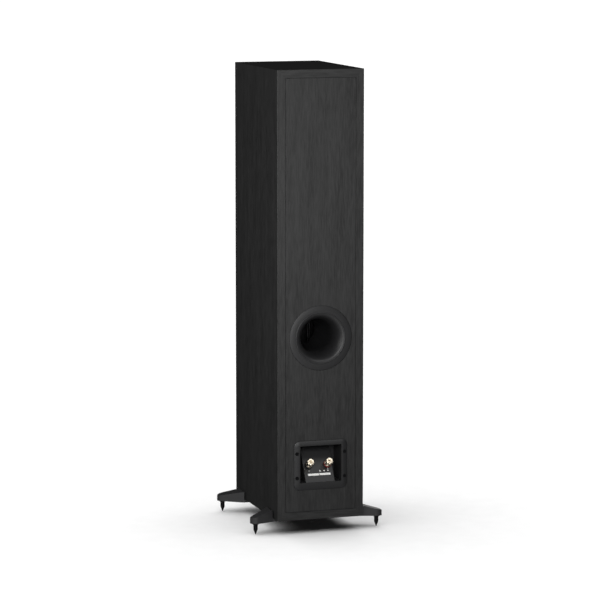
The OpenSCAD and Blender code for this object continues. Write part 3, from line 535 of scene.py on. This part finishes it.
def thumb_nut():
    """A turned nut with a round foot, a scalloped grip and a chamfered hole."""
    turns = [2 * pi * i / 144 for i in range(144)]
    # Each row: a fixed radius, or none and how far it lies inside the grip, then its height
    rows = [(3.05, 0, 7.3), (7.9, 0, 7.3), (8.3, 0, 7.7), (8.3, 0, 9.3), (7.95, 0, 9.8), (0, 0.15, 10.1),
            (0, 0, 10.4), (0, 0, 22.5), (0, 0.2, 22.95), (0, 0.6, 23.2), (4.5, 0, 23.2), (3.3, 0, 21.9),
            (3.05, 0, 21.4)]
    return lofted([[(r * cos(t), r * sin(t), z) for t in turns for r in [flat or grip_radius(t) - inward]]
                   for flat, inward, z in rows], closed=True)


def stud():
    """A threaded stud with a seat disc and a plug's bore in its end."""
    return spun([(0, -17), (2.6, -17), (3, -16.6), (3, 0), (7.1, 0), (7.5, 0.4), (7.5, 1.6), (7.1, 2), (3, 2),
                 (3, 22.2), (2.7, 22.6), (2.3, 22.6), (2, 22.2), (2, 8.6), (0, 8)], 64)


def collar():
    """The coloured collar under a thumb nut."""
    return spun([(3.05, 2.3), (8.3, 2.3), (8.65, 2.45), (8.8, 2.8), (8.8, 6.5), (8.65, 6.85), (8.3, 7.0),
                 (3.05, 7.0)], 96)


def cone_point(t):
    """A point of the cone's front, from the coil at 0 to the surround at 1."""
    return CONE_IN + (CONE_OUT - CONE_IN) * t, CONE_BACK + CONE_DEPTH * t**CONE_CURVE


def flexing(obj):
    """Bakes a ring's place into its mesh."""
    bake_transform(obj)


def foot_shape(edge_mm):
    """The foot of the +X, +Y corner: an outrigger arm and the plate that carries it."""
    end = Vector((SPIKE_X, SPIKE_Y))
    roots = [Vector((102.5, 87)), Vector((102.5, 131))]
    turns = []
    for root, side in zip(roots, (-1, 1)):
        away = end - root
        heading = atan2(away.y, away.x) + side * asin(ARM_END_R / away.length)
        reach = sqrt(away.length**2 - ARM_END_R**2)
        touch = root + reach * Vector((cos(heading), sin(heading))) - end
        turns.append(atan2(touch.y, touch.x))
    rim = [(SPIKE_X + ARM_END_R * cos(t), SPIKE_Y + ARM_END_R * sin(t))
           for t in [turns[0] + (turns[1] - turns[0]) * i / 24 for i in range(25)]]
    plan = [tuple(roots[0])] + rim + [tuple(roots[1])]
    arm = lofted([[(x, y, z) for x, y in plan] for z in (FOOT_LOW, 60)])
    for place, normal in (((102.5, 0, 50.5), (12.1, 0, 49.5)), ((154.5, 0, 35.9), (1, 0, 1))):
        bmesh.ops.bisect_plane(arm, geom=arm.verts[:] + arm.edges[:] + arm.faces[:], dist=WELD,
                               plane_co=Vector(place) * MM, plane_no=normal, clear_outer=True)
        bmesh.ops.holes_fill(arm, edges=[e for e in arm.edges if e.is_boundary], sides=0)
    bmesh.ops.recalc_face_normals(arm, faces=arm.faces)
    sharp = [e for e in arm.edges if e.calc_face_angle() > radians(30)]
    soften(arm, sharp, edge_mm)
    plate = block((50, 103), (87.5, 130.5), (FOOT_LOW, 32), 0.4)
    foot = worked(arm, plate, "UNION")
    screws = [(x, 109) for x in (62, 86)]
    for tool in (rods([(SPIKE_X, SPIKE_Y)], 4.3, 20, 37), rods(screws, 6, 20, 29),
                 rods(screws, 2.55, 20, 40)):
        foot = worked(foot, tool)
    return foot


def spike_shape():
    """A levelling spike: a threaded shaft, a coned collar, a body and a hardened point."""
    points = [(0, 0), (0.6, 0), (0.8, 0.3), (4.8, 10.8), (4.9, 11.2), (4.9, 21.2), (5.2, 21.5), (9.0, 24.8),
              (9.3, 25.1), (9.3, 25.3), (9.1, 25.4), (3.6, 25.4)]
    for i in range(THREAD_TURNS):
        points += [(3.95, 25.9 + THREAD_PITCH * i), (3.5, 26.5 + THREAD_PITCH * i)]
    return spun(points + [(3.2, 36.6), (0, 36.9)], 48)


class TowerCabinet(PropertyGroup):
    """The cabinet's sizes and colours."""
    edge_round: FloatProperty(name="Edge round", description="Radius of the cabinet's outer edges",
                              default=0.8 * MM, min=0.2 * MM, max=3 * MM, unit="LENGTH", precision=4)
    film: FloatVectorProperty(name="Film", description="Colour of the wood-grain film", subtype="COLOR",
                              default=linear("#232323")[:3], min=0, max=1)
    baffle: FloatVectorProperty(name="Baffle", description="Colour of the smooth film on the front",
                                subtype="COLOR", default=linear("#1c1c1d")[:3], min=0, max=1)


class TowerFittings(PropertyGroup):
    """Colours of the port, the cup and the binding posts."""
    plastic: FloatVectorProperty(name="Plastic", description="Colour of the port and the terminal cup",
                                 subtype="COLOR", default=linear("#212122")[:3], min=0, max=1)
    gold: FloatVectorProperty(name="Gold", description="Colour of the plated nuts and studs",
                              subtype="COLOR", default=linear("#eadfcb")[:3], min=0, max=1)
    marker: FloatVectorProperty(name="Marker", description="Colour of the positive post's collar",
                                subtype="COLOR", default=linear("#8a120d")[:3], min=0, max=1)


class TowerUnits(PropertyGroup):
    """Colours of the drive units."""
    cone: FloatVectorProperty(name="Cone", description="Colour of the woofers' cones and caps",
                              subtype="COLOR", default=linear("#232325")[:3], min=0, max=1)
    rubber: FloatVectorProperty(name="Rubber", description="Colour of the surrounds", subtype="COLOR",
                                default=linear("#141415")[:3], min=0, max=1)
    dome: FloatVectorProperty(name="Dome", description="Colour of the tweeter's cloth dome",
                              subtype="COLOR", default=linear("#202023")[:3], min=0, max=1)


class TowerFeet(PropertyGroup):
    """The feet's edges and colour."""
    edge_round: FloatProperty(name="Edge round", description="Radius of the castings' edges",
                              default=0.9 * MM, min=0.2 * MM, max=1.5 * MM, unit="LENGTH", precision=4)
    coat: FloatVectorProperty(name="Coat", description="Colour of the powder coat", subtype="COLOR",
                              default=linear("#333334")[:3], min=0, max=1)


class TowerStage(PropertyGroup):
    """The camera, the floor and the lights."""
    lens: FloatProperty(name="Lens", description="Focal length in millimetres on a 36 mm sensor",
                        default=175.95, min=20, max=400, unit="CAMERA")
    camera_place: FloatVectorProperty(name="Camera place", description="Where the camera stands",
                                      default=(2.0115, 6.2379, 1.4185), subtype="TRANSLATION", unit="LENGTH")
    camera_turn: FloatVectorProperty(name="Camera turn", description="The camera's Euler turn",
                                     default=(radians(82.045), 0, radians(162.096)), subtype="EULER",
                                     unit="ROTATION")
    floor: FloatVectorProperty(name="Floor", description="Colour of the floor", subtype="COLOR",
                               default=linear("#eeeeee")[:3], min=0, max=1)
    floor_light: FloatProperty(name="Floor light", description="Strength of the soft light on the floor",
                               default=4.1, min=0, max=20)
    rear_light: FloatProperty(name="Rear light",
                              description="Power of the softbox level with the rear's middle",
                              default=12, min=0, max=500, unit="POWER")
    side_light: FloatProperty(name="Side light",
                              description="Power of the softbox level with the side's middle",
                              default=11, min=0, max=500, unit="POWER")
    high_light: FloatProperty(name="High light", description="Power of the softbox high behind the rear",
                              default=14, min=0, max=500, unit="POWER")
    front_light: FloatProperty(name="Front light", description="Power of the softbox before the drive units",
                               default=55, min=0, max=500, unit="POWER")
    surround: FloatProperty(name="Surround", description="Strength of the glow below the horizon",
                            default=0.5, min=0, max=10)


class TOWER_OT_finishes(Operator):
    """Makes every finish and gives each CAD node that stays in view its own"""
    bl_idname = "tower.finishes"
    bl_label = "Finishes"

    def execute(self, context):
        FINISHES.update(make_finishes(context.scene))
        for part in frame["record"]["subparts"]:
            node = frame["nodes"][part["node"]]
            node.material_slots[0].material = FINISHES[part["material_slot"]]
        return {"FINISHED"}


class TOWER_OT_cabinet(Operator):
    """Makes the four mitred boards of the wrapped cabinet"""
    bl_idname = "tower.cabinet"
    bl_label = "Cabinet boards"

    def execute(self, context):
        x, low, high = BOARD_HIGH.x, BOARD_LOW.z, BOARD_HIGH.z
        for name, side in (("side_panel_left", -1), ("side_panel_right", 1)):
            cuts = [((side * x, 0, high), (side, 0, -1)), ((side * x, 0, low), (side, 0, 1)),
                    ((0, 0, low), (side, 0, 0))]
            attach(board(name, cuts, "vinyl_wrap"), "cabinet")
        for name, side, z in (("top_panel", 1, high), ("bottom_panel", -1, low)):
            cuts = [((x, 0, z), (-1, 0, side)), ((-x, 0, z), (1, 0, side)),
                    ((0, 0, (low + high) / 2), (0, 0, side))]
            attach(board(name, cuts, "vinyl_across"), "cabinet")
        return {"FINISHED"}


class TOWER_OT_port(Operator):
    """Makes the bass port's flange, lip and flared mouth"""
    bl_idname = "tower.port"
    bl_label = "Bass port"

    def execute(self, context):
        throat, mouth, length, wall = 38, 55, 45, 3

        def flare(depth):
            return throat + (mouth - throat) * (1 - sqrt(1 - (1 - depth / length) ** 2))

        inner = [(flare(length * (i / 28) ** 1.5), length * (i / 28) ** 1.5) for i in range(29)]
        outer = [(flare(d) + wall, d) for d in (45, 38, 31, 25, 20, 15, 11, 8, 6)]
        lip = arc((56.6, 0), (1.6, -1.4), 0, 180, 12)
        points = (lip[:-1] + inner + [(38, 47), (40.6, 47), (40.6, 62), (43.6, 62)] + outer
                  + [(58, 3.8), (71.6, 3.8), (72, 3.4), (72, 0.7), (71.8, 0.2), (71.3, 0)])
        shape = put(spun(points, 160), 0, REAR_Y / MM, PORT_Z, 90)
        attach(piece("port_mouth", shape, "moulded_plastic", ["port_flare"]), "cabinet")
        return {"FINISHED"}


class TOWER_OT_terminal_cup(Operator):
    """Makes the recessed terminal cup and the small print on its slope"""
    bl_idname = "tower.terminal_cup"
    bl_label = "Terminal cup"

    def execute(self, context):
        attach(piece("terminal_cup_shell", cup_shape(), "moulded_plastic", ["terminal_cup"], 28, True),
                "cabinet")
        # Blank dashes over the label, and a plus and a minus under the posts
        # Each bar: its x, its distance up the slope, its width and its height
        bars = [(-3.2, 26, 2.4, 3), (-12.6, 26, 3, 2.6), (-21.6, 26, 3, 1.8), (-22, 30.2, 3, 0.8),
                (-22, 30.2, 0.8, 3), (22, 27, 3, 0.8)]
        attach(piece("slope_print", joined([slope_mark(*bar) for bar in bars]), "white_label", []),
                "cabinet")
        return {"FINISHED"}


class TOWER_OT_binding_posts(Operator):
    """Makes the studs, collars and thumb nuts of the two binding posts"""
    bl_idname = "tower.binding_posts"
    bl_label = "Binding posts"

    def execute(self, context):
        studs = joined([on_post(stud(), side) for side in (-1, 1)])
        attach(piece("post_stud_pair", studs, "gold_plate", ["post_studs"]), "cabinet")
        for colour, side in (("red", -1), ("black", 1)):
            ring = piece("post_collar_" + colour, on_post(collar(), side), colour + "_plastic",
                         ["post_ring_" + colour], 50)
            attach(ring, colour + "_collar")
            nut = piece("thumb_nut_" + colour, on_post(thumb_nut(), side), "gold_plate",
                        ["post_nut_" + colour], 40)
            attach(nut, colour + "_thumb_nut")
        return {"FINISHED"}


class TOWER_OT_woofers(Operator):
    """Makes each woofer's cone, dust cap, rubber surround and spider"""
    bl_idname = "tower.woofers"
    bl_label = "Woofers"

    def execute(self, context):
        front = [cone_point(i / 32) for i in range(33)]
        cone = front + [(r, z - 1.2) for r, z in reversed(front)]
        rim_z = cone_point((CAP_R - CONE_IN) / (CONE_OUT - CONE_IN))[1] + 0.1
        cap = (cap_line(CAP_R, CAP_RISE, rim_z, 0) + cap_line(CAP_R - 0.9, CAP_RISE, rim_z, 0.9)[::-1])
        mid, half = (ROLL_IN + ROLL_OUT) / 2, (ROLL_OUT - ROLL_IN) / 2
        crown = ROLL_PROUD + 1.2
        roll = ([(ROLL_IN - 3.5, -2.1), (ROLL_IN - 3.5, -1.3), (ROLL_IN - 3.3, -1.2)]
                + arc((mid, -1.2), (half, crown), 180, 0, 28)
                + [(69.6, -1.2), (69.7, -1.3), (69.7, -2.1)]
                + arc((mid, -2.1), (half - 1, crown), 0, 180, 28))
        wave = [(16.65 + (43 - 16.65) * i / 64, -39 + 1.3 * sin(8 * pi * i / 64)) for i in range(65)]
        web = wave + [(46, -39), (46, -39.7)] + [(r, z - 0.7) for r, z in reversed(wave)]
        for which, z in WOOFERS.items():
            moving, node = which + "_cone", which + "_woofer_"
            for name, points, finish, part in (("cone", cone, "paper_cone", "cone"),
                                               ("dust_cap", cap, "paper_cone", "dust_cap")):
                shape = put(spun(points, 144), 0, FRONT_Y / MM, z, 90)
                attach(piece(node + name + "_skin", shape, finish, [node + part]), moving)
            for name, points, finish, still_r, moving_r in (("surround", roll, "butyl_rubber", 66.5, 54.4),
                                                            ("spider", web, "spider_cloth", 43.5, 17.5)):
                shape = put(spun(points, 144), 0, FRONT_Y / MM, z, 90)
                ring = piece(node + name + "_ring", shape, finish, [node + name], 50)
                flexing(ring)
        return {"FINISHED"}


class TOWER_OT_tweeter(Operator):
    """Makes the tweeter's faceplate with its waveguide, the dome and the dome's roll"""
    bl_idname = "tower.tweeter"
    bl_label = "Tweeter"

    def execute(self, context):
        guide = [(15.6 + 22.4 * i / 28, -9 * max(0.0, cos(pi / 2 * i / 28)) ** 1.3) for i in range(29)]
        plate = guide + [(51.2, 0), (51.7, -0.2), (52, -0.7), (52, -3.9), (40, -3.9), (33, -9.5),
                         (15.6, -11.5)]
        spots = [(45.5 * cos(radians(a)), 45.5 * sin(radians(a))) for a in (45, 135, 225, 315)]
        shape = worked(worked(spun(plate, 144), rods(spots, 2.9, -1.7, 3)), rods(spots, 1.55, -8, 3, 24))
        shape = put(shape, 0, FRONT_Y / MM, TWEETER_Z, 90)
        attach(piece("tweeter_waveguide", shape, "moulded_plastic", ["tweeter_faceplate"], 30), "cabinet")
        dome = cap_line(DOME_R, DOME_RISE, DOME_Z, 0) + cap_line(DOME_R - 0.5, DOME_RISE, DOME_Z, 0.5)[::-1]
        shape = put(spun(dome, 96), 0, FRONT_Y / MM, TWEETER_Z, 90)
        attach(piece("tweeter_dome_cloth", shape, "silk", ["tweeter_dome"]), "tweeter_diaphragm")
        roll = ([(12.85, DOME_Z - 0.7), (12.85, DOME_Z - 0.2)]
                + arc((14, DOME_Z - 0.2), (1.0, 1.0), 180, 0, 12)
                + [(15.4, DOME_Z - 0.2), (15.4, DOME_Z - 0.7)])
        shape = put(spun(roll, 96), 0, FRONT_Y / MM, TWEETER_Z, 90)
        ring = piece("tweeter_roll", shape, "butyl_rubber", ["tweeter_surround"], 50)
        flexing(ring)
        return {"FINISHED"}


class TOWER_OT_feet(Operator):
    """Makes the four outrigger feet and their levelling spikes"""
    bl_idname = "tower.feet"
    bl_label = "Feet and spikes"

    def execute(self, context):
        edge = context.scene.tower_feet.edge_round / MM
        for corner, (sx, sy) in CORNERS.items():
            shape = foot_shape(edge)
            bmesh.ops.scale(shape, vec=(sx, sy, 1), verts=shape.verts)
            bmesh.ops.recalc_face_normals(shape, faces=shape.faces)
            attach(piece("outrigger_" + corner, shape, "cast_foot", ["foot_" + corner], 28, True), "cabinet")
            shape = put(spike_shape(), SPIKE_X * sx, SPIKE_Y * sy, 0)
            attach(piece("spike_point_" + corner, shape, "black_steel", ["spike_" + corner], 40),
                    "levelling_spike_" + corner)
        return {"FINISHED"}


class TOWER_OT_stage(Operator):
    """Sets the camera, the pale floor and the soft studio light"""
    bl_idname = "tower.stage"
    bl_label = "Stage"

    def execute(self, context):
        scene, settings = context.scene, context.scene.tower_stage
        scene.view_settings.view_transform = "Standard"
        camera = bpy.data.objects.new("Camera", bpy.data.cameras.new("Camera"))
        camera.data.lens, camera.data.sensor_width = settings.lens, SENSOR_MM
        camera.data.clip_end = CLIP_END
        camera.location, camera.rotation_euler = settings.camera_place, settings.camera_turn
        scene.collection.objects.link(camera)
        scene.camera = camera

        ground = bmesh.new()
        bmesh.ops.create_grid(ground, x_segments=1, y_segments=1, size=FLOOR_HALF)
        mesh = bpy.data.meshes.new("floor")
        ground.to_mesh(mesh)
        ground.free()
        # Matt paper: even and nearly white
        tones = shades(settings.floor, 0.99, 1.01)
        mesh.materials.append(grained("Paper backdrop, matt white", tones, (40, 40, 40), (0.9, 1.0), 0.01,
                                      Specular_IOR_Level=0.1))
        floor = bpy.data.objects.new("floor", mesh)
        scene.collection.objects.link(floor)
        floor.visible_glossy = floor.visible_diffuse = False

        # A broad overhead light that only the floor takes, so the object throws a soft shadow on it
        wide = bpy.data.objects.new("Overhead", bpy.data.lights.new("Overhead", "SUN"))
        wide.data.energy, wide.data.angle = settings.floor_light, radians(OVERHEAD_ANGLE)
        wide.rotation_euler = (radians(OVERHEAD_LEAN), radians(OVERHEAD_LEAN), 0)
        scene.collection.objects.link(wide)
        only_floor = bpy.data.collections.new("Floor only")
        all_but_floor = bpy.data.collections.new("All but floor")
        for group, state in ((only_floor, "INCLUDE"), (all_but_floor, "EXCLUDE")):
            group.objects.link(floor)
            group.collection_objects[0].light_linking.link_state = state
        wide.light_linking.receiver_collection = only_floor

        # Softboxes, each with its azimuth, distance, height, size across, size upwards and power
        for name, azimuth, away, z, width, height, power in (
            ("Rear middle", 163, 1.5, 0.70, 0.7, 0.5, settings.rear_light),
            ("Side middle", 105, 1.6, 0.85, 1.2, 0.75, settings.side_light),
            ("Rear high", 208, 1.9, 2.3, 1.1, 1.1, settings.high_light),
            ("Front low", -52, 2.6, 0.6, 1.6, 0.8, settings.front_light)):
            lamp = bpy.data.objects.new(name, bpy.data.lights.new(name, "AREA"))
            lamp.data.shape, lamp.data.size, lamp.data.size_y = "RECTANGLE", width, height
            lamp.data.energy = power
            turn = radians(azimuth)
            lamp.location = (sin(turn) * away, -cos(turn) * away, z)
            # The high lamp looks down at the foot of the cabinet, the others straight ahead
            target = Vector((0, 0, z if z < 1 else HIGH_LAMP_AIM))
            lamp.rotation_euler = (Vector(lamp.location) - target).to_track_quat("Z", "Y").to_euler()
            lamp.visible_camera = False
            lamp.light_linking.receiver_collection = all_but_floor
            scene.collection.objects.link(lamp)

        # Surroundings that glow below the horizon on the camera's side and are dim elsewhere. The camera
        # itself sees plain white.
        world = bpy.data.worlds.new("Studio")
        scene.world = world
        world.use_nodes = True
        tree = world.node_tree
        spot = add(tree, "TexCoord")
        turn, dip = radians(GLOW_AZIMUTH), radians(GLOW_BELOW)
        aim = add(tree, "VectorMath", {0: spot.outputs["Generated"]}, operation="DOT_PRODUCT")
        aim.inputs[1].default_value = Vector((sin(turn) * cos(dip), -cos(turn) * cos(dip), -sin(dip)))
        lit = add(tree, "MapRange", {"Value": aim.outputs["Value"]}, From_Min=-0.15, From_Max=1.0)
        soft = add(tree, "Math", {0: lit.outputs["Result"]}, operation="POWER")
        soft.inputs[1].default_value = GLOW_POWER
        rise_of = add(tree, "SeparateXYZ", {"Vector": spot.outputs["Generated"]})
        under = add(tree, "MapRange", {"Value": rise_of.outputs["Z"]}, From_Min=0.04, From_Max=-0.16,
                    To_Max=settings.surround)
        level = add(tree, "Math", {0: soft.outputs["Value"], 1: under.outputs["Result"]},
                    operation="MULTIPLY_ADD")
        level.inputs[2].default_value = GLOW_BASE
        paths = add(tree, "LightPath")
        seen = add(tree, "Background", Strength=BACKDROP)
        seen.inputs["Color"].default_value = (1, 1, 1, 1)
        lobe = add(tree, "Background", {"Strength": level.outputs["Value"]})
        lobe.inputs["Color"].default_value = (1, 1, 1, 1)
        mix = add(tree, "MixShader",
                  {0: paths.outputs["Is Camera Ray"], 1: lobe.outputs[0], 2: seen.outputs[0]})
        tree.links.new(mix.outputs[0], tree.nodes["World Output"].inputs["Surface"])
        return {"FINISHED"}


class TOWER_PT_panel(Panel):
    """Lists the steps that make the loudspeaker"""
    bl_idname = "TOWER_PT_panel"
    bl_label = "Floor-standing Loudspeaker"
    bl_space_type = "VIEW_3D"
    bl_region_type = "UI"
    bl_category = "Loudspeaker"

    def draw(self, context):
        for group in GROUPS:
            box = self.layout.box()
            for key in GROUPS[group].__annotations__:
                box.prop(getattr(context.scene, group), key)
        for step in STEPS:
            self.layout.operator(step.bl_idname)


GROUPS = {"tower_cabinet": TowerCabinet, "tower_fittings": TowerFittings, "tower_units": TowerUnits,
          "tower_feet": TowerFeet, "tower_stage": TowerStage}
STEPS = (TOWER_OT_finishes, TOWER_OT_cabinet, TOWER_OT_port, TOWER_OT_terminal_cup, TOWER_OT_binding_posts,
         TOWER_OT_woofers, TOWER_OT_tweeter, TOWER_OT_feet, TOWER_OT_stage)


def register():
    for name, group in GROUPS.items():
        bpy.utils.register_class(group)
        setattr(bpy.types.Scene, name, PointerProperty(type=group))
    for step in (*STEPS, TOWER_PT_panel):
        bpy.utils.register_class(step)


def unregister():
    for step in (TOWER_PT_panel, *reversed(STEPS)):
        bpy.utils.unregister_class(step)
    for name, group in GROUPS.items():
        delattr(bpy.types.Scene, name)
        bpy.utils.unregister_class(group)


def main():
    """Makes every piece and the stage."""
    register()
    for step in STEPS:
        family, name = step.bl_idname.split(".")
        getattr(getattr(bpy.ops, family), name)()


if __name__ == "__main__":
    main()
